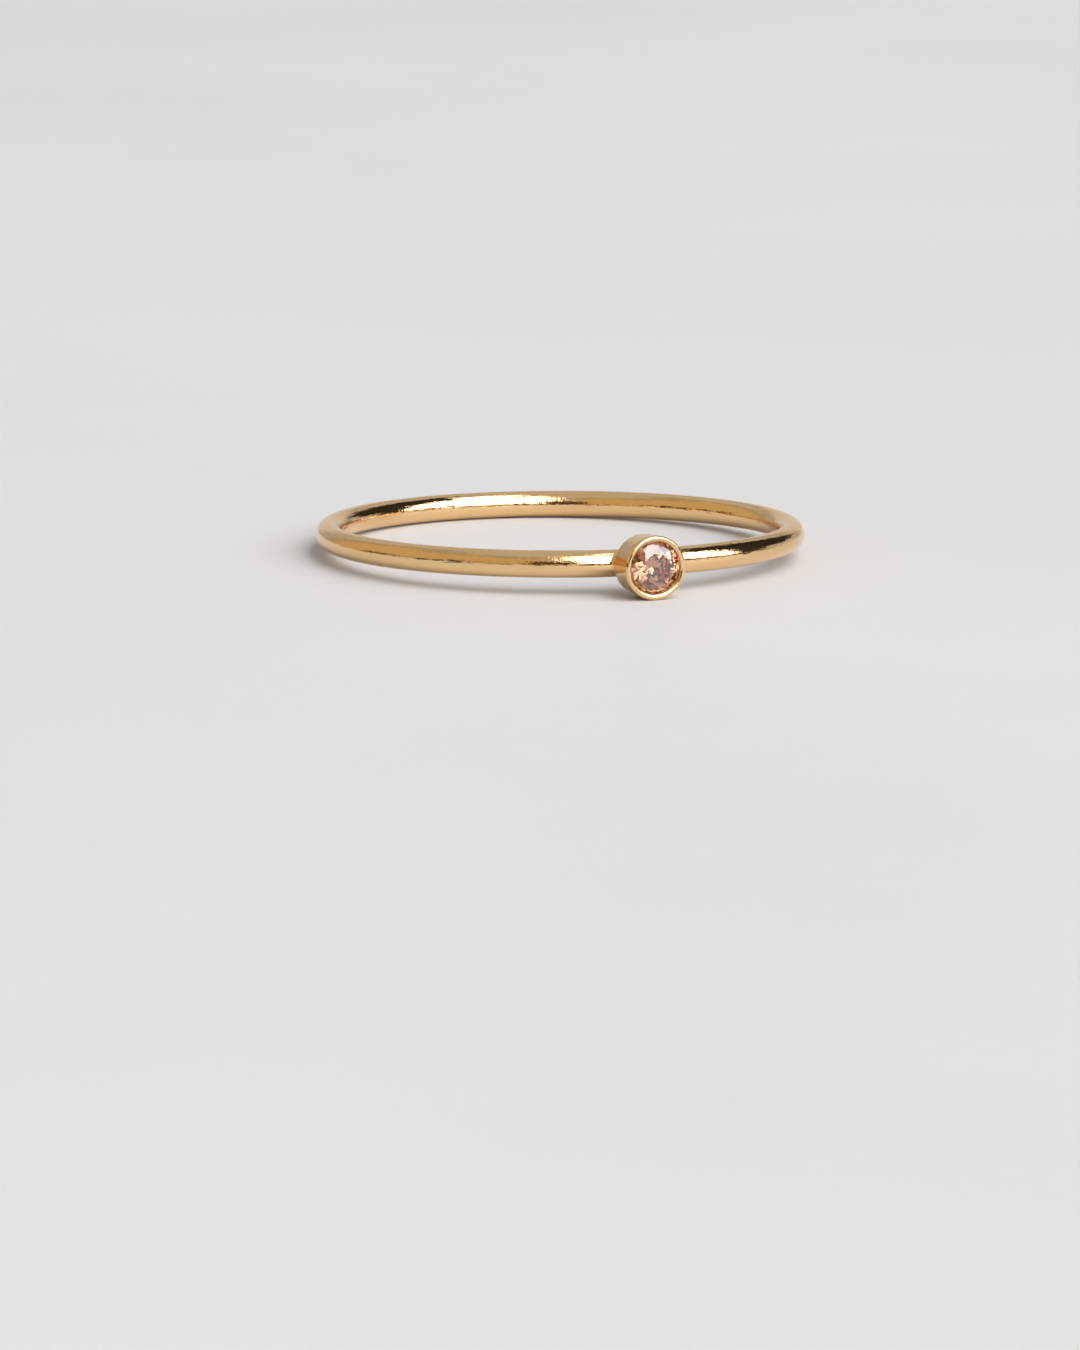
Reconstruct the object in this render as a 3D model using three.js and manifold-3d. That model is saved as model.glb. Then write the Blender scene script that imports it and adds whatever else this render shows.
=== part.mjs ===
// A stackable ring: a round wire band, a tapered bezel cup soldered to its front, and a round brilliant stone.
// Millimetres, +Z up. The ring rests on its side, on the rim of its cup in front (-Y) and on its band behind.
import * as THREE from "three";
import { ConvexGeometry } from "three/addons/geometries/ConvexGeometry.js";
import { mergeVertices } from "three/addons/utils/BufferGeometryUtils.js";
import Module from "manifold-3d";

const wasm = await Module();
wasm.setup();

// Band
const FINGER_DIAMETER = 16.5;
const WIRE_DIAMETER = 1.02;

// Stone, a round brilliant
const STONE_DIAMETER = 2.0;
const TABLE_DIAMETER = 1.14;
const GIRDLE_THICKNESS = 0.06;
const CROWN_ANGLE = THREE.MathUtils.degToRad(34.5);
const PAVILION_ANGLE = THREE.MathUtils.degToRad(40.75);
const STAR_LENGTH = 0.5; // share of the way from the table's edge to the girdle
const LOWER_GIRDLE_LENGTH = 0.77; // share of the way from the girdle to the culet
const STONE_TURN = THREE.MathUtils.degToRad(14); // how the stone happened to be set, about its own axis

// Bezel cup
const BEZEL_WALL = 0.16; // metal beside the girdle
const BEZEL_TAPER = 0.075; // how much narrower the base is than the rim, on the radius
const CUP_FLOOR = 0.12;
const RIM_RISE = 0.2; // from the girdle up to the crest of the rim
const RIM_SHOULDER = 0.12; // height of the rim's outer rounding
const RIM_ROUNDING = 0.1; // width of the rim's outer rounding
const RIM_COVER = 0.045; // how far the burnished rim reaches over the stone
const RIM_EDGE = 0.03; // thickness of the rim where it ends on the stone
const SEAT_WIDTH = 0.28; // width of the ledge that carries the stone
const CUP_TURN = THREE.MathUtils.degToRad(4.5); // how far to the right of straight outwards the cup points

// Clearances and the solder joint
const STONE_CLEARANCE = 0.035;
const CULET_CLEARANCE = 0.06;
const FLAT_DEPTH = 0.04; // flat filed on the wire, where the cup stands
const SOLDER_MARGIN = 0.06; // bare edge of the cup's base around the solder
const SOLDER_INSET = 0.03; // how far inside the wire the solder starts

// Facets of the round forms
const BAND_STEPS = 96;
const WIRE_SIDES = 20;
const CUP_SIDES = 48;
const ARC_STEPS = 5;
const STONE_FOLDS = 8;

// Sizes that follow from those above
const WIRE_RADIUS = WIRE_DIAMETER / 2;
const BAND_RADIUS = FINGER_DIAMETER / 2 + WIRE_RADIUS;
const STONE_RADIUS = STONE_DIAMETER / 2;
const TABLE_RADIUS = TABLE_DIAMETER / 2;
const POCKET_RADIUS = STONE_RADIUS + STONE_CLEARANCE;
const RIM_RADIUS = POCKET_RADIUS + BEZEL_WALL;
const CULET_HEIGHT = CUP_FLOOR + CULET_CLEARANCE; // heights are above the cup's base
const GIRDLE_BOTTOM = CULET_HEIGHT + STONE_RADIUS * Math.tan(PAVILION_ANGLE);
const GIRDLE_TOP = GIRDLE_BOTTOM + GIRDLE_THICKNESS;
const CUP_HEIGHT = GIRDLE_TOP + RIM_RISE;
const SHOULDER_HEIGHT = CUP_HEIGHT - RIM_SHOULDER; // where the cup is widest
const BASE_DISTANCE = BAND_RADIUS + WIRE_RADIUS - FLAT_DEPTH; // from the band's axis to the cup's base

const gold = new THREE.MeshStandardMaterial({ color: 0xd8a860, metalness: 1.0, roughness: 0.16 });
const champagne = new THREE.MeshStandardMaterial({ color: 0xe6b795, metalness: 0.0, roughness: 0.03 });

// The closed solid of a geometry, with its shared corners merged.
function solidOf(geometry) {
  const bare = geometry.clone();
  bare.deleteAttribute("normal");
  bare.deleteAttribute("uv");
  const merged = mergeVertices(bare, 1e-4);
  return new wasm.Manifold(
    new wasm.Mesh({
      numProp: 3,
      vertProperties: merged.attributes.position.array,
      triVerts: new Uint32Array(merged.index.array),
    }),
  );
}

// The geometry of a solid, with flat facets.
function geometryOf(solid) {
  const mesh = solid.getMesh();
  const indexed = new THREE.BufferGeometry();
  indexed.setAttribute("position", new THREE.BufferAttribute(mesh.vertProperties, 3));
  indexed.setIndex(new THREE.BufferAttribute(mesh.triVerts, 1));
  const flat = indexed.toNonIndexed();
  flat.computeVertexNormals();
  return flat;
}

// Points on a quarter ellipse from one angle to another, both ends included.
function ellipseArc(centreX, centreY, halfWidth, halfHeight, from, to) {
  return Array.from({ length: ARC_STEPS + 1 }, (_, i) => {
    const angle = from + ((to - from) * i) / ARC_STEPS;
    return new THREE.Vector2(
      centreX + halfWidth * Math.cos(angle),
      centreY + halfHeight * Math.sin(angle),
    );
  });
}

// The tilt at which the widest part of the cup's rim and the middle facet of the band's back touch one level
// surface: (span * t - rim)^2 = wire^2 * (1 + backShare^2 * t^2), where t is the tangent of the tilt. The cup's
// turn shortens the span, and its effect on the rim's own depth is under a thousandth of a millimetre.
const BACK_SHARE = Math.cos(Math.PI / BAND_STEPS); // a facet's middle is this much nearer the axis than its ends
function restTilt() {
  const span = BASE_DISTANCE + SHOULDER_HEIGHT * Math.cos(CUP_TURN) + BAND_RADIUS * BACK_SHARE;
  const a = span ** 2 - (WIRE_RADIUS * BACK_SHARE) ** 2;
  const b = span * RIM_RADIUS;
  const c = RIM_RADIUS ** 2 - WIRE_RADIUS ** 2;
  return Math.atan((b - Math.sqrt(b ** 2 - a * c)) / a);
}

// The band: a wire section swept round the finger. Its facets enclose the true round wire, and the section is
// turned so that one facet lies level under the back of the tilted ring.
function bandSolid(tilt) {
  const sectionTurn = Math.atan(BACK_SHARE * Math.tan(tilt));
  const cornerRadius = WIRE_RADIUS / Math.cos(Math.PI / WIRE_SIDES);
  const section = [];
  for (let i = 0; i <= WIRE_SIDES; i++) {
    const angle = sectionTurn - Math.PI / 2 + ((i + 0.5) * 2 * Math.PI) / WIRE_SIDES;
    section.push(
      new THREE.Vector2(BAND_RADIUS + cornerRadius * Math.cos(angle), cornerRadius * Math.sin(angle)),
    );
  }
  const start = Math.PI + Math.PI / BAND_STEPS; // half a step past the back, so a facet is centred there
  const band = new THREE.LatheGeometry(section, BAND_STEPS, start, 2 * Math.PI);
  band.rotateX(Math.PI / 2); // the lathe turns about Y, the band about Z
  return solidOf(band);
}

// The steepest slope of the crown, up the edge between two upper girdle facets.
function crownEdge() {
  const halfFold = Math.PI / STONE_FOLDS;
  const tableEdge = TABLE_RADIUS * Math.cos(halfFold);
  const radius = tableEdge + STAR_LENGTH * (STONE_RADIUS - tableEdge);
  const rise = (STONE_RADIUS - radius * Math.cos(halfFold)) * Math.tan(CROWN_ANGLE);
  return { radius, rise, slope: rise / (STONE_RADIUS - radius) };
}

// The cup's section from its base, up the outside, over the rim, under the rim and down the seat to its floor.
function cupSection() {
  const baseRadius = RIM_RADIUS - BEZEL_TAPER;
  const crestRadius = RIM_RADIUS - RIM_ROUNDING;
  const lipRadius = STONE_RADIUS - RIM_COVER;
  const crown = crownEdge();
  const overCrown = GIRDLE_TOP + STONE_CLEARANCE * Math.hypot(1, crown.slope);
  const lipUnderside = overCrown + RIM_COVER * crown.slope;
  const lipTop = lipUnderside + RIM_EDGE;
  const underPavilion = GIRDLE_BOTTOM - STONE_CLEARANCE / Math.cos(PAVILION_ANGLE);
  const boreRadius = POCKET_RADIUS - SEAT_WIDTH;
  return [
    new THREE.Vector2(0, 0),
    new THREE.Vector2(baseRadius, 0),
    ...ellipseArc(crestRadius, SHOULDER_HEIGHT, RIM_ROUNDING, RIM_SHOULDER, 0, Math.PI / 2),
    ...ellipseArc(crestRadius, lipTop, crestRadius - lipRadius, CUP_HEIGHT - lipTop, Math.PI / 2, Math.PI).slice(1),
    new THREE.Vector2(lipRadius, lipUnderside),
    new THREE.Vector2(POCKET_RADIUS, overCrown - STONE_CLEARANCE * crown.slope),
    new THREE.Vector2(POCKET_RADIUS, underPavilion + STONE_CLEARANCE * Math.tan(PAVILION_ANGLE)),
    new THREE.Vector2(boreRadius, underPavilion - (STONE_RADIUS - boreRadius) * Math.tan(PAVILION_ANGLE)),
    new THREE.Vector2(boreRadius, CUP_FLOOR),
    new THREE.Vector2(0, CUP_FLOOR),
  ];
}

// The solder that fills the corner between the wire and the cup's base, flaring from the one to the other.
function solderSection() {
  const footRadius = WIRE_RADIUS - SOLDER_INSET;
  const footHeight = FLAT_DEPTH - WIRE_RADIUS; // level with the wire's centre
  const topRadius = RIM_RADIUS - BEZEL_TAPER - SOLDER_MARGIN;
  const topHeight = CUP_FLOOR / 2; // inside the cup's floor
  const flare = ellipseArc(topRadius, footHeight, topRadius - footRadius, -footHeight, Math.PI, Math.PI / 2);
  return [
    new THREE.Vector2(0, footHeight),
    ...flare,
    new THREE.Vector2(topRadius, topHeight),
    new THREE.Vector2(0, topHeight),
  ];
}

// The cup's own frame: its base stands on the front of the band, and its axis points along this frame's -Y.
const cupFrame = new THREE.Matrix4()
  .makeTranslation(0, -BASE_DISTANCE, 0)
  .multiply(new THREE.Matrix4().makeRotationZ(CUP_TURN));

// A section turned about the cup's axis, with a corner right at its bottom.
function cupTurned(section) {
  const turned = new THREE.LatheGeometry(section, CUP_SIDES, Math.PI, 2 * Math.PI);
  turned.rotateZ(Math.PI);
  turned.applyMatrix4(cupFrame);
  return solidOf(turned);
}

// The corners of the brilliant, about its own axis +Z, with the culet at zero. The main facets of the crown
// and the pavilion lie on planes at their two angles, and every other facet spans corners of those planes.
function brilliantCorners() {
  const fold = (2 * Math.PI) / STONE_FOLDS;
  const girdleBottom = STONE_RADIUS * Math.tan(PAVILION_ANGLE);
  const girdleTop = girdleBottom + GIRDLE_THICKNESS;
  const table = girdleTop + (STONE_RADIUS - TABLE_RADIUS) * Math.tan(CROWN_ANGLE);
  const crown = crownEdge();
  const lowerRadius = STONE_RADIUS * (1 - LOWER_GIRDLE_LENGTH);
  const lowerHeight = lowerRadius * Math.cos(fold / 2) * Math.tan(PAVILION_ANGLE);
  const corners = [new THREE.Vector3(0, 0, 0)];
  const place = (radius, angle, height) =>
    corners.push(new THREE.Vector3(radius * Math.cos(angle), radius * Math.sin(angle), height));
  for (let i = 0; i < STONE_FOLDS; i++) {
    const main = i * fold;
    const between = main + fold / 2;
    place(TABLE_RADIUS, main, table);
    place(crown.radius, between, girdleTop + crown.rise);
    place(lowerRadius, between, lowerHeight);
    for (const angle of [main, between]) {
      place(STONE_RADIUS, angle, girdleTop);
      place(STONE_RADIUS, angle, girdleBottom);
    }
  }
  return corners;
}

function ringMesh(tilt) {
  const solid = bandSolid(tilt).add(cupTurned(cupSection())).add(cupTurned(solderSection()));
  const mesh = new THREE.Mesh(geometryOf(solid), gold);
  mesh.name = "ring_band_and_bezel";
  return mesh;
}

// The stone in the cup's frame, facing out of the cup.
function setStone() {
  const stone = new ConvexGeometry(brilliantCorners());
  stone.rotateZ(STONE_TURN);
  stone.rotateX(Math.PI / 2);
  const mesh = new THREE.Mesh(stone, champagne);
  mesh.name = "stone";
  mesh.position.y = -CULET_HEIGHT;
  const setting = new THREE.Group();
  setting.applyMatrix4(cupFrame);
  setting.add(mesh);
  return setting;
}

// The ring at rest: tilted, then placed with the bottom centre of its box at the origin.
const ring = new THREE.Group();
const tilt = restTilt();
ring.add(ringMesh(tilt), setStone());
ring.rotation.x = -tilt;
ring.updateMatrixWorld(true);
const box = new THREE.Box3().setFromObject(ring, true);
ring.position.set(0, -(box.min.y + box.max.y) / 2, -box.min.z);

const model = new THREE.Group();
model.add(ring);
export default model;
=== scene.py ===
import math

import bpy
import numpy as np
from mathutils import Matrix, Vector, noise


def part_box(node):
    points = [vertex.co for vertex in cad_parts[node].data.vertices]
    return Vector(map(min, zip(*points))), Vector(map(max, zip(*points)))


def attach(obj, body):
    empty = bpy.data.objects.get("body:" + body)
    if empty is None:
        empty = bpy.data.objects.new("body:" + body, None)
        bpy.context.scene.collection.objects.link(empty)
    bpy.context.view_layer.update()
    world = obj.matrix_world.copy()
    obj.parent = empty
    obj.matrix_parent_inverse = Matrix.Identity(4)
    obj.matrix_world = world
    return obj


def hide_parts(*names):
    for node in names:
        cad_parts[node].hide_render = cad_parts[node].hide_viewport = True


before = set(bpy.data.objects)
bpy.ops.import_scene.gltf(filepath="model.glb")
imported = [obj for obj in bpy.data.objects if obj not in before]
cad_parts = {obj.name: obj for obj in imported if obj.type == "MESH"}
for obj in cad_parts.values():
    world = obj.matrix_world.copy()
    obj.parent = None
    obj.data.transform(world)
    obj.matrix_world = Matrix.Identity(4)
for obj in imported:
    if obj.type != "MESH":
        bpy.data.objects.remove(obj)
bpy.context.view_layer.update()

# The ring is modelled in millimetres about the centre of its level band, with the cup in front (-Y),
# and is then laid in the frame's metres at the tilt at which it rests.
MM = 0.001

# The photo's frame and where the ring stands in it
PHOTO_WIDTH = 1080
PHOTO_HEIGHT = 1350
RING_PIXEL_X = 559.9
RING_PIXEL_Y = 533.0
PIXELS_PER_MM = 26.4
CAMERA_DISTANCE = 300.0
CAMERA_AZIMUTH = math.radians(19.1)  # to the left of the cup
CAMERA_ELEVATION = math.radians(7.5)  # above the plane of the band
SENSOR_SIZE = 36.0

# Band
FINGER_DIAMETER = 16.5
WIRE_DIAMETER = 1.02
WIRE_RADIUS = WIRE_DIAMETER / 2
BAND_RADIUS = FINGER_DIAMETER / 2 + WIRE_RADIUS
WIRE_INSET = 0.004  # how far inside its true round the uneven wire lies, so that no bump stands proud

# Stone
STONE_RADIUS = 1.0
TABLE_RADIUS = 0.57
GIRDLE_THICKNESS = 0.06
CROWN_SLOPE = math.tan(math.radians(34.5))
PAVILION_SLOPE = math.tan(math.radians(40.75))
STONE_FOLDS = 8

# Cup, with heights above its base
BEZEL_WALL = 0.16
BEZEL_TAPER = 0.075
CUP_FLOOR = 0.12
CULET_CLEARANCE = 0.06
POCKET_CLEARANCE = 0.035
RIM_RISE = 0.2
RIM_SHOULDER = 0.12
RIM_ROUNDING = 0.1
RIM_COVER = 0.045
RIM_EDGE = 0.03
LIP_CLEARANCE = 0.008
FLAT_DEPTH = 0.04
SEAT_WIDTH = 0.28
CUP_TURN = math.radians(4.5)  # to the right of straight outwards
CUP_INSET = 0.003  # as the wire's, for the cup's side
POCKET_RADIUS = STONE_RADIUS + POCKET_CLEARANCE
RIM_RADIUS = POCKET_RADIUS + BEZEL_WALL
BASE_RADIUS = RIM_RADIUS - BEZEL_TAPER
BASE_EDGE = 0.03
GIRDLE_BOTTOM = CUP_FLOOR + CULET_CLEARANCE + STONE_RADIUS * PAVILION_SLOPE
GIRDLE_TOP = GIRDLE_BOTTOM + GIRDLE_THICKNESS
CUP_HEIGHT = GIRDLE_TOP + RIM_RISE
SHOULDER_HEIGHT = CUP_HEIGHT - RIM_SHOULDER
BASE_DISTANCE = BAND_RADIUS + WIRE_RADIUS - FLAT_DEPTH


def rest_tilt():
    """The tilt at which the cup's rim and the back of the band touch one level surface."""
    span = BASE_DISTANCE + SHOULDER_HEIGHT * math.cos(CUP_TURN) + BAND_RADIUS
    # The tilt's tangent t solves a * t * t - 2 * b * t + c = 0
    a = span**2 - WIRE_RADIUS**2
    b = span * RIM_RADIUS
    c = RIM_RADIUS**2 - WIRE_RADIUS**2
    return math.atan((b - math.sqrt(b * b - a * c)) / a)


def ring_place():
    """From the level ring in millimetres to the frame in metres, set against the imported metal's back."""
    tilt = rest_tilt()
    metal_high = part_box("ring_band_and_bezel")[1]
    y = metal_high[1] / MM - BAND_RADIUS * math.cos(tilt) - WIRE_RADIUS
    z = BAND_RADIUS * math.sin(tilt) + WIRE_RADIUS
    return Matrix.Scale(MM, 4) @ Matrix.Translation((0, y, z)) @ Matrix.Rotation(-tilt, 4, "X")


PLACE = ring_place()

# The cup's own frame: its base stands on the front of the band, and its axis points along this frame's -Y
CUP_FRAME = Matrix.Translation((0, -BASE_DISTANCE, 0)) @ Matrix.Rotation(CUP_TURN, 4, "Z")


# Pieces


def add_object(mesh):
    """A new object of the mesh, under the mesh's name."""
    made = bpy.data.objects.new(mesh.name, mesh)
    bpy.context.collection.objects.link(made)
    return made


def add_metal(mesh, material):
    """Lays a mesh in the frame as a piece that stands for the ring's metal and rides on the ring."""
    mesh.transform(PLACE)
    mesh.shade_smooth()
    mesh.materials.append(material)
    piece = add_object(mesh)
    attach(piece, "root")
    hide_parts("ring_band_and_bezel")


# Meshes


def grid_faces(across, count, joined, u_step, v_step):
    """Quads between rows of points that each wrap round, with their UVs. The rows wrap too if joined."""
    faces, uvs = [], []
    for j in range(across if joined else across - 1):
        k = (j + 1) % across
        for i in range(count):
            n = (i + 1) % count
            faces.append((j * count + i, j * count + n, k * count + n, k * count + i))
            u, v = i * u_step, j * v_step
            uvs += [(u, v), (u + u_step, v), (u + u_step, v + v_step), (u, v + v_step)]
    return faces, uvs


def pole_faces(row, count, tip, first, u_step, v_step):
    """Triangles from a row to the pole that closes it, with their UVs."""
    faces, uvs = [], []
    for i in range(count):
        a, b = row * count + i, row * count + (i + 1) % count
        faces.append((b, a, tip) if first else (a, b, tip))
        uvs += [(i * u_step, row * v_step)] * 3
    return faces, uvs


def grid_mesh(name, rows, u_length, v_length, poles=None):
    """A closed mesh of rows of points. Each row wraps round, and the rows end on two poles or wrap too.
    Its UV map holds millimetres: u along the row, v from row to row."""
    across, count = len(rows), len(rows[0])
    steps = (u_length / count, v_length / across)
    vertices = [tuple(p) for row in rows for p in row]
    faces, uvs = grid_faces(across, count, poles is None, *steps)
    for row, pole in zip((0, across - 1), poles or ()):
        more_faces, more_uvs = pole_faces(row, count, len(vertices), row == 0, *steps)
        vertices.append(pole)
        faces += more_faces
        uvs += more_uvs
    mesh = bpy.data.meshes.new(name)
    mesh.from_pydata(vertices, [], faces)
    layer = mesh.uv_layers.new(name="surface_mm")
    for loop, uv in zip(layer.data, uvs):
        loop.uv = uv
    mesh.validate()
    return mesh


def ripple(point, size, height, seed):
    """A smooth unevenness of about that size and height. Each seed has its own, the same on every run."""
    shift = Vector((seed, 2.7 * seed, 5.1 * seed))
    return height * noise.noise(Vector(point) / size + shift)


# The band's mesh

BAND_STEPS = 1200
WIRE_STEPS = 52
WAVE_SIZE = 2.2
WAVE_HEIGHT = 0.003
DENT_SIZE = 0.5
DENT_HEIGHT = 0.0009


def band_mesh():
    """The wire, with the slight unevenness of wire bent by hand."""
    rows = []
    for j in range(WIRE_STEPS):
        angle = 2 * math.pi * j / WIRE_STEPS
        row = []
        for i in range(BAND_STEPS):
            turn = 2 * math.pi * i / BAND_STEPS
            outward = Vector((math.sin(turn), -math.cos(turn), 0))
            normal = outward * math.cos(angle) + Vector((0, 0, 1)) * math.sin(angle)
            on_wire = outward * BAND_RADIUS + normal * WIRE_RADIUS
            uneven = ripple(on_wire, WAVE_SIZE, WAVE_HEIGHT, 1) + ripple(on_wire, DENT_SIZE, DENT_HEIGHT, 2)
            row.append(on_wire + normal * (uneven - WIRE_INSET))
        rows.append(row)
    return grid_mesh("band", rows, 2 * math.pi * BAND_RADIUS, 2 * math.pi * WIRE_RADIUS)


# The bezel cup's mesh

CUP_STEPS = 192
CUP_ARC_STEPS = 10
BASE_ARC_STEPS = 4
WALL_STEPS = 14
SECTION_LENGTH = 3.0  # about the length of the cup's section, for its UV map
WORKED_FROM = 0.6  # height from which the burnishing shows
WORKED_FULLY = 1.0  # height from which it shows in full
UNWORKED_SHARE = 0.3  # share of the unevenness that is left below
FLAT_SIZE = 0.5
FLAT_HEIGHT = 0.004
MARK_SIZE = 0.16
MARK_HEIGHT = 0.0013
LIP_WAVES = 4.5
LIP_HEIGHT = 0.006


def arc(centre_r, centre_h, half_width, half_height, start, end, steps=CUP_ARC_STEPS):
    """Points on an ellipse from one angle to another, in radius and height."""
    points = []
    for i in range(steps + 1):
        angle = math.radians(start + (end - start) * i / steps)
        radius = centre_r + half_width * math.cos(angle)
        height = centre_h + half_height * math.sin(angle)
        points.append((radius, height))
    return points


def line(start, end, steps):
    """Points on a straight line, both ends left out."""
    return [
        (start[0] + (end[0] - start[0]) * i / steps, start[1] + (end[1] - start[1]) * i / steps)
        for i in range(1, steps)
    ]


def crown_edge_slope():
    """The steepest slope of the stone's crown, between two upper girdle facets."""
    half_fold = math.pi / STONE_FOLDS
    table_edge = TABLE_RADIUS * math.cos(half_fold)
    radius = (table_edge + STONE_RADIUS) / 2
    rise = (STONE_RADIUS - radius * math.cos(half_fold)) * CROWN_SLOPE
    return rise / (STONE_RADIUS - radius)


def cup_profile():
    """The cup's section as radius and height: outside, over the rim, under it and down to the floor."""
    crest = RIM_RADIUS - RIM_ROUNDING
    lip = STONE_RADIUS - RIM_COVER
    slope = crown_edge_slope()
    over_crown = GIRDLE_TOP + LIP_CLEARANCE * math.hypot(1, slope)
    lip_underside = over_crown + RIM_COVER * slope
    lip_top = lip_underside + RIM_EDGE
    pocket = POCKET_RADIUS
    bore = pocket - SEAT_WIDTH
    under_pavilion = GIRDLE_BOTTOM - POCKET_CLEARANCE
    points = arc(BASE_RADIUS - BASE_EDGE, BASE_EDGE, BASE_EDGE, BASE_EDGE, -90, 0, BASE_ARC_STEPS)
    shoulder = (RIM_RADIUS, SHOULDER_HEIGHT)
    points += line(points[-1], shoulder, WALL_STEPS)
    points += arc(crest, SHOULDER_HEIGHT, RIM_ROUNDING, RIM_SHOULDER, 0, 90)
    points += arc(crest, lip_top, crest - lip, CUP_HEIGHT - lip_top, 90, 180)[1:]
    points += [(lip, lip_underside), (pocket, over_crown), (pocket, under_pavilion)]
    points += [(bore, under_pavilion - (STONE_RADIUS - bore) * PAVILION_SLOPE), (bore, CUP_FLOOR)]
    return points


def hand_finish(radius, height, turn):
    """The radius with the slight unevenness that burnishing the rim by hand leaves."""
    if height < CUP_FLOOR:
        return radius
    worked = max(0.0, min(1.0, (height - WORKED_FROM) / (WORKED_FULLY - WORKED_FROM)))
    spot = Vector((math.cos(turn), math.sin(turn), 0.5 * height))
    if radius < POCKET_RADIUS:
        return radius + LIP_HEIGHT * worked * (1 + noise.noise(spot * LIP_WAVES))
    flats = ripple(spot, FLAT_SIZE, FLAT_HEIGHT, 3) + ripple(spot, MARK_SIZE, MARK_HEIGHT, 4)
    return radius - CUP_INSET + flats * (UNWORKED_SHARE + (1 - UNWORKED_SHARE) * worked)


def cup_mesh():
    """The cup, hollow as far as its floor, with a seat and a rim burnished by hand."""
    rows = []
    for radius, height in cup_profile():
        row = []
        for i in range(CUP_STEPS):
            turn = 2 * math.pi * i / CUP_STEPS
            out = Vector((math.cos(turn), 0, math.sin(turn)))
            row.append(out * hand_finish(radius, height, turn) + Vector((0, -height, 0)))
        rows.append(row)
    poles = ((0, 0, 0), (0, -CUP_FLOOR, 0))
    mesh = grid_mesh("bezel_cup", rows, 2 * math.pi * RIM_RADIUS, SECTION_LENGTH, poles)
    mesh.transform(CUP_FRAME)
    return mesh


# The solder joint's mesh

JOINT_STEP = 0.022  # size of the grid's cells
JOINT_HALF_LENGTH = 1.6
JOINT_HALF_WIDTH = 0.96
JOINT_CLIMB = 0.5  # how far up the cup's wall the joint goes
JOINT_BACK = 0.4  # how far behind the front of the wire's middle line the grid reaches
JOINT_BEHIND = 0.15  # how far behind the middle line the joint is cut off
JOINT_BORE = 0.9  # radius to which it is cut away above the middle of the cup's floor
SOLDER_END_REACH = 0.26  # how far the solder has run at the two ends of the joint
SOLDER_MIDDLE_REACH = 0.5  # and in the middle
SOLDER_MIDDLE_MARGIN = 0.07  # past the cup's edge, where the reach starts to grow
SOLDER_MIDDLE_FADE = 0.5  # the way over which it grows
SOLDER_WAVE = 0.05
SOLDER_RIPPLE = 0.02
SOLDER_SINK = 0.005  # how deep the solder lies under the metal where it has run out
SOLDER_SINK_SHARE = 0.2  # share of the reach over which it comes up from there
SETTLING_ROUNDS = 4
SLOPE_STEP = 0.0005
TINY = 1e-9  # keeps a length that something is divided by from being zero


def wire_distance(x, y, z):
    """Distance to the wire's surface, negative inside."""
    return np.hypot(np.hypot(x, y) - BAND_RADIUS, z) - WIRE_RADIUS + WIRE_INSET


def from_cup_axis(x, y, z):
    """Distance from the cup's axis, and height above its base."""
    forward = -y - BASE_DISTANCE
    across = x * math.cos(CUP_TURN) - forward * math.sin(CUP_TURN)
    return np.hypot(across, z), x * math.sin(CUP_TURN) + forward * math.cos(CUP_TURN)


def cup_distance(x, y, z):
    """Distance to the outside of the cup's base and side, negative inside."""
    lean = math.atan2(BEZEL_TAPER, SHOULDER_HEIGHT)
    radius, height = from_cup_axis(x, y, z)
    side = (radius - BASE_RADIUS) * math.cos(lean) - height * math.sin(lean) + BASE_EDGE
    base = BASE_EDGE - height
    within = np.minimum(np.maximum(side, base), 0)
    return within + np.hypot(np.maximum(side, 0), np.maximum(base, 0)) - BASE_EDGE + CUP_INSET


def solder_reach(x, z):
    """How far the solder has run along the metal: furthest in the middle, and a little unevenly."""
    middle = np.clip((BASE_RADIUS + SOLDER_MIDDLE_MARGIN - np.abs(x)) / SOLDER_MIDDLE_FADE, 0, 1)
    middle = middle * middle * (3 - 2 * middle)
    wave = SOLDER_WAVE * np.sin(3.1 * x + 1.3) * np.cos(4.3 * z + 0.4)
    fine = SOLDER_RIPPLE * np.sin(9.7 * x - 7.3 * z)
    return SOLDER_END_REACH + (SOLDER_MIDDLE_REACH - SOLDER_END_REACH) * middle + wave + fine


def solder_distance(x, y, z):
    """Distance to the solder that has run into the corners between the wire and the cup."""
    wire = wire_distance(x, y, z)
    cup = cup_distance(x, y, z)
    reach = solder_reach(x, z)
    share = np.maximum(reach - np.abs(wire - cup), 0) / reach
    filled = np.minimum(wire, cup) - share * share * reach / 4
    return filled + SOLDER_SINK * (1 - np.minimum(1, share / SOLDER_SINK_SHARE))


def joint_limits(x, y, z):
    """How far a point lies outside the block that the joint is cut to. The cuts lie inside the metal."""
    radius, height = from_cup_axis(x, y, z)
    hollow = np.minimum(height - CUP_FLOOR / 2, JOINT_BORE - radius)
    behind = BAND_RADIUS - JOINT_BEHIND - np.hypot(x, y)
    beside = np.maximum(np.abs(x) - JOINT_HALF_LENGTH, np.abs(z) - JOINT_HALF_WIDTH)
    return np.maximum.reduce([beside, height - JOINT_CLIMB, hollow, behind])


def joint_distance(x, y, z):
    """Distance to the joint as it is cut."""
    return np.maximum(solder_distance(x, y, z), joint_limits(x, y, z))


CUBE_CORNERS = [(i, j, k) for i in (0, 1) for j in (0, 1) for k in (0, 1)]


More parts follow.
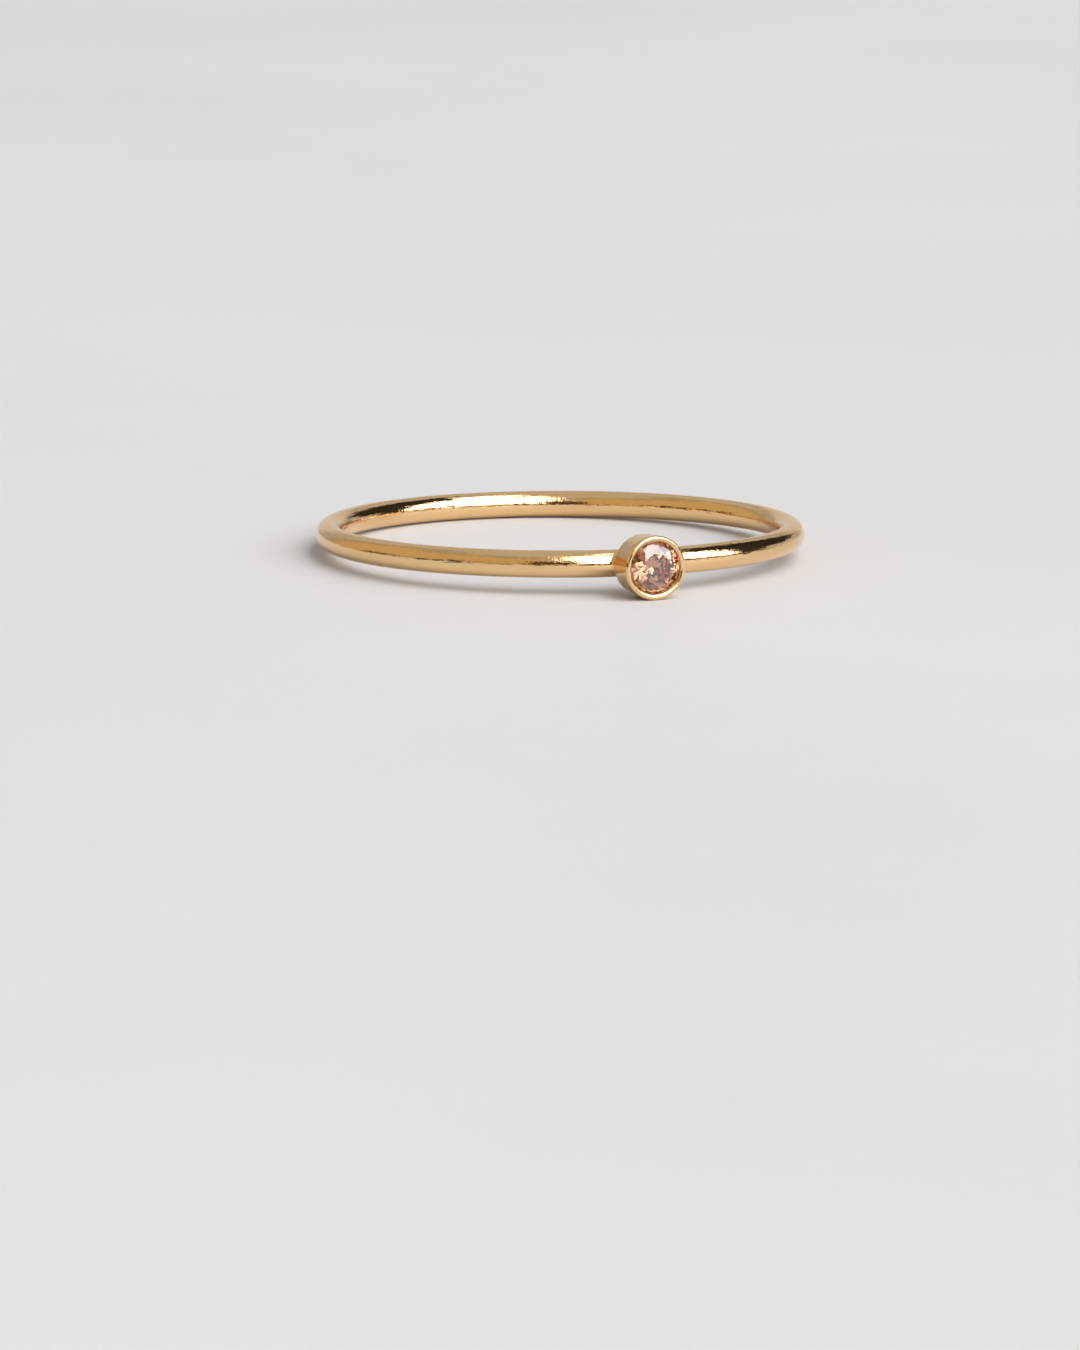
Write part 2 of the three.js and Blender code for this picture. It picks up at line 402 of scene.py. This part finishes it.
def cell_points(values, low, step):
    """One point in each grid cell that the surface passes through, and the cells' numbers."""
    shape = tuple(n - 1 for n in values.shape)
    total = np.zeros(shape + (3,))
    crossings = np.zeros(shape)

    def corner(offset):
        return values[tuple(slice(first, first + size) for first, size in zip(offset, shape))]

    for a in CUBE_CORNERS:
        for axis in range(3):
            if a[axis]:
                continue
            b = tuple(1 if n == axis else a[n] for n in range(3))
            near, far = corner(a), corner(b)
            crossed = (near < 0) != (far < 0)
            share = np.where(crossed, near / np.where(crossed, near - far, 1), 0)
            for n in range(3):
                total[..., n] += crossed * (a[n] + (share if n == axis else 0))
            crossings += crossed
    found = crossings > 0
    numbers = np.full(shape, -1)
    numbers[found] = np.arange(found.sum())
    points = total[found] / crossings[found][:, None]
    return (points + np.argwhere(found)) * step + low, numbers


def surface_net(field, low, high, step):
    """Vertices and quads of the surface where a field of x, y and z passes through zero."""
    axes = [np.arange(low[n], high[n] + step, step) for n in range(3)]
    values = field(*np.meshgrid(*axes, indexing="ij"))
    points, numbers = cell_points(values, np.array(low), step)
    faces = []
    for axis in range(3):
        u, v = (axis + 1) % 3, (axis + 2) % 3
        near = np.moveaxis(values, (axis, u, v), (0, 1, 2))
        cells = np.moveaxis(numbers, (axis, u, v), (0, 1, 2))
        inner = near[:, 1:-1, 1:-1] < 0
        for sign in (True, False):
            crossed = (inner[:-1] == sign) & (inner[1:] != sign)
            i, j, k = np.nonzero(crossed)
            quad = [cells[i, j, k], cells[i, j + 1, k], cells[i, j + 1, k + 1], cells[i, j, k + 1]]
            faces.append(np.stack(quad if sign else quad[::-1], axis=1))
    return points, np.concatenate(faces)


def settled(points, field, limits, step):
    """The points moved onto the field's zero surface, except those near or on the limits' cuts."""
    free = limits(*points.T) < -0.5 * step
    for _ in range(SETTLING_ROUNDS):
        place = points[free].T
        value = field(*place)
        slope = np.empty((len(value), 3))
        for axis, shift in enumerate(np.eye(3)[:, :, None] * SLOPE_STEP):
            slope[:, axis] = (field(*(place + shift)) - field(*(place - shift))) / (2 * SLOPE_STEP)
        move = -value[:, None] * slope / (slope**2).sum(axis=1)[:, None]
        length = np.linalg.norm(move, axis=1)[:, None]
        points[free] += move * np.minimum(1, step / np.maximum(length, TINY))
    return points


def joint_mesh():
    """The solder round the foot of the cup, with the metal that it has run over."""
    margin = 2 * JOINT_STEP
    # The joint's slanted front end reaches furthest at its left side
    climb = (JOINT_CLIMB + JOINT_HALF_LENGTH * math.sin(CUP_TURN)) / math.cos(CUP_TURN)
    low = (-JOINT_HALF_LENGTH - margin, -BASE_DISTANCE - climb - margin, -JOINT_HALF_WIDTH - margin)
    high = (JOINT_HALF_LENGTH + margin, -BAND_RADIUS + JOINT_BACK, JOINT_HALF_WIDTH + margin)
    points, faces = surface_net(joint_distance, low, high, JOINT_STEP)
    points = settled(points, solder_distance, joint_limits, JOINT_STEP)
    mesh = bpy.data.meshes.new("solder_joint")
    mesh.from_pydata(points.tolist(), [], faces.tolist())
    return mesh


# Materials

GRAIN_DEPTH = 0.000008
BAND_STREAK_DEPTH = 0.000012
CUP_STREAK_DEPTH = 0.000003


class Nodes:
    """A material's shader nodes. An input that is another node's output is linked, not copied."""

    def __init__(self, tree):
        self.tree = tree
        tree.nodes.clear()

    def add(self, kind, inputs=None, **settings):
        node = self.tree.nodes.new(kind)
        for key, value in settings.items():
            setattr(node, key, value)
        for key, value in (inputs or {}).items():
            if isinstance(value, bpy.types.NodeSocket):
                self.tree.links.new(value, node.inputs[key])
            else:
                node.inputs[key].default_value = value
        return node


def new_material(name):
    material = bpy.data.materials.new(name)
    material.use_nodes = True
    return material, Nodes(material.node_tree)


def scaled(nodes, vector, factors):
    return nodes.add("ShaderNodeVectorMath", {0: vector, 1: factors}, operation="MULTIPLY").outputs[0]


def noise_level(nodes, vector, scale, detail=2.0, roughness=0.5):
    inputs = {"Vector": vector, "Scale": scale, "Detail": detail, "Roughness": roughness}
    return nodes.add("ShaderNodeTexNoise", inputs).outputs["Fac"]


def mixed_colour(nodes, level, first, second):
    """A colour between two others. The mix node's inputs 6 and 7 are its two colours."""
    inputs = {0: level, 6: (*first, 1), 7: (*second, 1)}
    return nodes.add("ShaderNodeMix", inputs, data_type="RGBA").outputs[2]


def bump(nodes, height, depth, normal=None):
    """The normal of a surface that is uneven by that depth in metres."""
    inputs = {"Height": height, "Strength": 1.0, "Distance": depth}
    if normal is not None:
        inputs["Normal"] = normal
    return nodes.add("ShaderNodeBump", inputs).outputs["Normal"]


def gold_material(name, streak_depth):
    """Polished gold with a fine grain, and with the streaks of the drawing and polishing."""
    material, nodes = new_material(name)
    place = nodes.add("ShaderNodeTexCoord")
    in_mm = scaled(nodes, place.outputs["Object"], (1 / MM,) * 3)
    cloud = noise_level(nodes, in_mm, 0.6)
    grain = noise_level(nodes, in_mm, 7.0, roughness=0.6)
    streaks = noise_level(nodes, scaled(nodes, place.outputs["UV"], (1.3, 9.0, 1.0)), 1.0)
    roughness = nodes.add(
        "ShaderNodeMapRange",
        {"Value": grain, "From Min": 0.3, "From Max": 0.7, "To Min": 0.06, "To Max": 0.13},
    )
    shader = nodes.add(
        "ShaderNodeBsdfPrincipled",
        {
            "Base Color": mixed_colour(nodes, cloud, (0.89, 0.62, 0.335), (0.85, 0.56, 0.26)),
            "Metallic": 1.0,
            "Roughness": roughness.outputs[0],
            "Normal": bump(nodes, streaks, streak_depth, bump(nodes, grain, GRAIN_DEPTH)),
        },
    )
    nodes.add("ShaderNodeOutputMaterial", {"Surface": shader.outputs[0]})
    return material


def stone_material():
    """Clear champagne stone with a faint unevenness of colour. Its tint is partly in its depth."""
    material, nodes = new_material("champagne_stone")
    place = nodes.add("ShaderNodeTexCoord")
    cloud = noise_level(nodes, place.outputs["Object"], 900.0)
    shader = nodes.add(
        "ShaderNodeBsdfPrincipled",
        {
            "Base Color": mixed_colour(nodes, cloud, (0.585, 0.435, 0.33), (0.54, 0.37, 0.275)),
            "Roughness": 0.0,
            "IOR": 2.15,
            "Transmission Weight": 1.0,
        },
    )
    tint = nodes.add("ShaderNodeVolumeAbsorption", {"Color": (0.95, 0.5, 0.2, 1), "Density": 350.0})
    nodes.add("ShaderNodeOutputMaterial", {"Surface": shader.outputs[0], "Volume": tint.outputs[0]})
    return material


# Stage, in metres

FLOOR_WIDTH = 12.0
LAMP_DISTANCE = 3.0
PANEL_STEPS = 8


def floor_material():
    """The pale surface that the ring lies on, a little cloudy."""
    material, nodes = new_material("pale_floor")
    place = nodes.add("ShaderNodeTexCoord")
    cloud = noise_level(nodes, place.outputs["Object"], 25.0, detail=4.0)
    shader = nodes.add(
        "ShaderNodeBsdfPrincipled",
        {
            "Base Color": mixed_colour(nodes, cloud, (0.52, 0.505, 0.5), (0.57, 0.555, 0.55)),
            "Roughness": 0.55,
            "Specular IOR Level": 0.2,
        },
    )
    nodes.add("ShaderNodeOutputMaterial", {"Surface": shader.outputs[0]})
    return material


def add_floor():
    half = FLOOR_WIDTH / 2
    corners = [(-half, -half, 0), (half, -half, 0), (half, half, 0), (-half, half, 0)]
    mesh = bpy.data.meshes.new("floor")
    mesh.from_pydata(corners, [], [(0, 1, 2, 3)])
    mesh.materials.append(floor_material())
    add_object(mesh)


def studio_direction(azimuth, elevation):
    """A direction from the ring: azimuth 0 towards the camera, positive to the right of it, in degrees."""
    a = math.radians(azimuth) - CAMERA_AZIMUTH
    e = math.radians(elevation)
    return Vector((math.sin(a) * math.cos(e), -math.cos(a) * math.cos(e), math.sin(e)))


def panel_mesh(name, azimuths, elevations, distance):
    """A piece of a sphere round the ring, between two azimuths and two elevations."""
    steps = PANEL_STEPS
    vertices, faces, uvs = [], [], []
    for j in range(steps + 1):
        for i in range(steps + 1):
            azimuth = azimuths[0] + (azimuths[1] - azimuths[0]) * i / steps
            elevation = elevations[0] + (elevations[1] - elevations[0]) * j / steps
            vertices.append(tuple(studio_direction(azimuth, elevation) * distance))
            uvs.append((i / steps, j / steps))
    for j in range(steps):
        for i in range(steps):
            a = j * (steps + 1) + i
            faces.append((a, a + 1, a + steps + 2, a + steps + 1))
    mesh = bpy.data.meshes.new(name)
    mesh.from_pydata(vertices, [], faces)
    layer = mesh.uv_layers.new(name="panel")
    for loop in mesh.loops:
        layer.data[loop.index].uv = uvs[loop.vertex_index]
    return mesh


def add_panel(name, azimuths, elevations, material, distance):
    """A panel that the camera can't see."""
    mesh = panel_mesh(name, azimuths, elevations, distance)
    mesh.materials.append(material)
    panel = add_object(mesh)
    panel.visible_camera = False
    return panel


def softbox_material(name, colour, strength, edges):
    """Light that fades towards the panel's left, right, bottom and top edges, over those shares of it."""
    material, nodes = new_material(name)
    place = nodes.add("ShaderNodeTexCoord")
    split = nodes.add("ShaderNodeSeparateXYZ", {0: place.outputs["UV"]})
    level = 1.0
    left, right, bottom, top = edges
    for axis, dark, bright in ((0, 0, left), (0, 1, 1 - right), (1, 0, bottom), (1, 1, 1 - top)):
        ramp = nodes.add(
            "ShaderNodeMapRange",
            {"Value": split.outputs[axis], "From Min": dark, "From Max": bright},
            interpolation_type="SMOOTHSTEP",
        )
        both = nodes.add("ShaderNodeMath", {0: level, 1: ramp.outputs[0]}, operation="MULTIPLY")
        level = both.outputs[0]
    power = nodes.add("ShaderNodeMath", {0: level, 1: strength}, operation="MULTIPLY")
    glow = nodes.add("ShaderNodeEmission", {"Color": colour, "Strength": power.outputs[0]})
    clear = nodes.add("ShaderNodeBsdfTransparent")
    shown = nodes.add("ShaderNodeMixShader", {0: level, 1: clear.outputs[0], 2: glow.outputs[0]})
    nodes.add("ShaderNodeOutputMaterial", {"Surface": shown.outputs[0]})
    return material


def card_material(name, colour, strength):
    """An even glow, dim enough to pass for a dark card."""
    material, nodes = new_material(name)
    shader = nodes.add("ShaderNodeEmission", {"Color": colour, "Strength": strength})
    nodes.add("ShaderNodeOutputMaterial", {"Surface": shader.outputs[0]})
    return material


def add_lamps():
    """A window-like softbox at the front right, and a smaller one high up behind it."""
    window = softbox_material("window_light", (0.97, 0.98, 1.0, 1), 5.0, (0.33, 0.03, 0.12, 0.3))
    add_panel("window", (-16, 95), (6, 86), window, LAMP_DISTANCE)
    sky = softbox_material("sky_light", (0.9, 0.92, 1.0, 1), 4.0, (0.15, 0.15, 0.15, 0.15))
    add_panel("sky", (93, 130), (60, 84), sky, LAMP_DISTANCE)


def add_cards():
    """Dark and warm cards that the gold mirrors as its lines and tones, and a light for one crown facet.
    They light nothing diffuse, and the stone isn't looked through at the largest dark one."""
    black = card_material("black_card", (1, 0.9, 0.75, 1), 0.03)
    brown = card_material("brown_card", (1, 0.68, 0.4, 1), 0.26)
    umber = card_material("umber_card", (1, 0.62, 0.36, 1), 0.1)
    warm = softbox_material("warm_wall", (1.0, 0.8, 0.47, 1), 0.6, (0.2, 0.12, 0.02, 0.35))
    pale = softbox_material("backdrop", (1.0, 0.93, 0.82, 1), 0.66, (0.25, 0.25, 0.02, 0.5))
    crown = softbox_material("crown_light", (0.68, 0.82, 1.0, 1), 4.2, (0.2, 0.2, 0.2, 0.2))
    # Name, azimuths, elevations, material and distance in metres
    cards = [
        ("black_side", (93, 152), (11, 61), black, 3.1),
        ("black_low_left", (-105, -62), (0.3, 8), black, 3.1),
        ("black_low_middle", (-62, -47), (0.3, 13), black, 3.1),
        ("brown_low_middle", (-47, 0), (0.5, 6), brown, 3.1),
        ("umber_low_front", (-15, 9), (0.3, 29), umber, 2.9),
        ("umber_low_right", (9, 36), (0.3, 15), umber, 2.9),
        ("umber_far_right", (36, 112), (0.3, 11), umber, 2.9),
        ("warm_wall", (-155, 4), (0.3, 70), warm, 3.3),
        ("backdrop", (145, 215), (0.3, 30), pale, 3.3),
        ("crown_light", (97, 100.8), (31, 34.8), crown, 2.8),
    ]
    for name, azimuths, elevations, material, distance in cards:
        card = add_panel(name, azimuths, elevations, material, distance)
        card.visible_diffuse = False
        card.visible_transmission = name != "black_side"
        material.cycles.emission_sampling = "NONE"


def add_room():
    """The even pale light of the room round the ring."""
    world = bpy.data.worlds.new("pale_room")
    bpy.context.scene.world = world
    world.use_nodes = True
    background = world.node_tree.nodes["Background"]
    background.inputs["Color"].default_value = (1.0, 0.985, 0.965, 1)
    background.inputs["Strength"].default_value = 0.56
    world.cycles.sampling_method = "NONE"


def add_camera():
    """The camera at the photo's angle to the band, with the ring where the photo has it."""
    focal_pixels = PIXELS_PER_MM * CAMERA_DISTANCE
    looking = Vector(
        (
            math.sin(CAMERA_AZIMUTH) * math.cos(CAMERA_ELEVATION),
            math.cos(CAMERA_AZIMUTH) * math.cos(CAMERA_ELEVATION),
            -math.sin(CAMERA_ELEVATION),
        )
    )
    aimed = looking.to_track_quat("-Z", "Y").to_matrix()
    offset = Vector(
        (
            (RING_PIXEL_X - PHOTO_WIDTH / 2) / focal_pixels,
            (PHOTO_HEIGHT / 2 - RING_PIXEL_Y) / focal_pixels,
            -1,
        )
    )
    turn = offset.rotation_difference(Vector((0, 0, -1))).to_matrix()
    local = Matrix.Translation(-looking * CAMERA_DISTANCE) @ (aimed @ turn).to_4x4()
    data = bpy.data.cameras.new("camera")
    data.sensor_width = SENSOR_SIZE
    data.lens = focal_pixels * SENSOR_SIZE / PHOTO_HEIGHT
    data.clip_start = 0.01
    data.clip_end = 10.0
    camera = bpy.data.objects.new("camera", data)
    bpy.context.collection.objects.link(camera)
    placed = PLACE @ local
    camera.location = placed.to_translation()
    camera.rotation_mode = "QUATERNION"
    camera.rotation_quaternion = placed.to_quaternion()
    bpy.context.scene.camera = camera


def dress_stone(material):
    """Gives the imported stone, which is shown as it is, its looks."""
    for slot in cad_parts["stone"].material_slots:
        slot.material = material


def allow_long_paths():
    """Lets light turn often enough inside the stone, where every turn counts as a glossy bounce."""
    cycles = bpy.context.scene.cycles
    cycles.max_bounces = 18
    cycles.glossy_bounces = 12
    cycles.transmission_bounces = 18


add_camera()
drawn_gold = gold_material("drawn_gold", BAND_STREAK_DEPTH)
worked_gold = gold_material("worked_gold", CUP_STREAK_DEPTH)
add_metal(band_mesh(), drawn_gold)
add_metal(cup_mesh(), worked_gold)
add_metal(joint_mesh(), worked_gold)
dress_stone(stone_material())
add_floor()
add_lamps()
add_cards()
add_room()
bpy.context.scene.view_settings.view_transform = "Standard"
allow_long_paths()
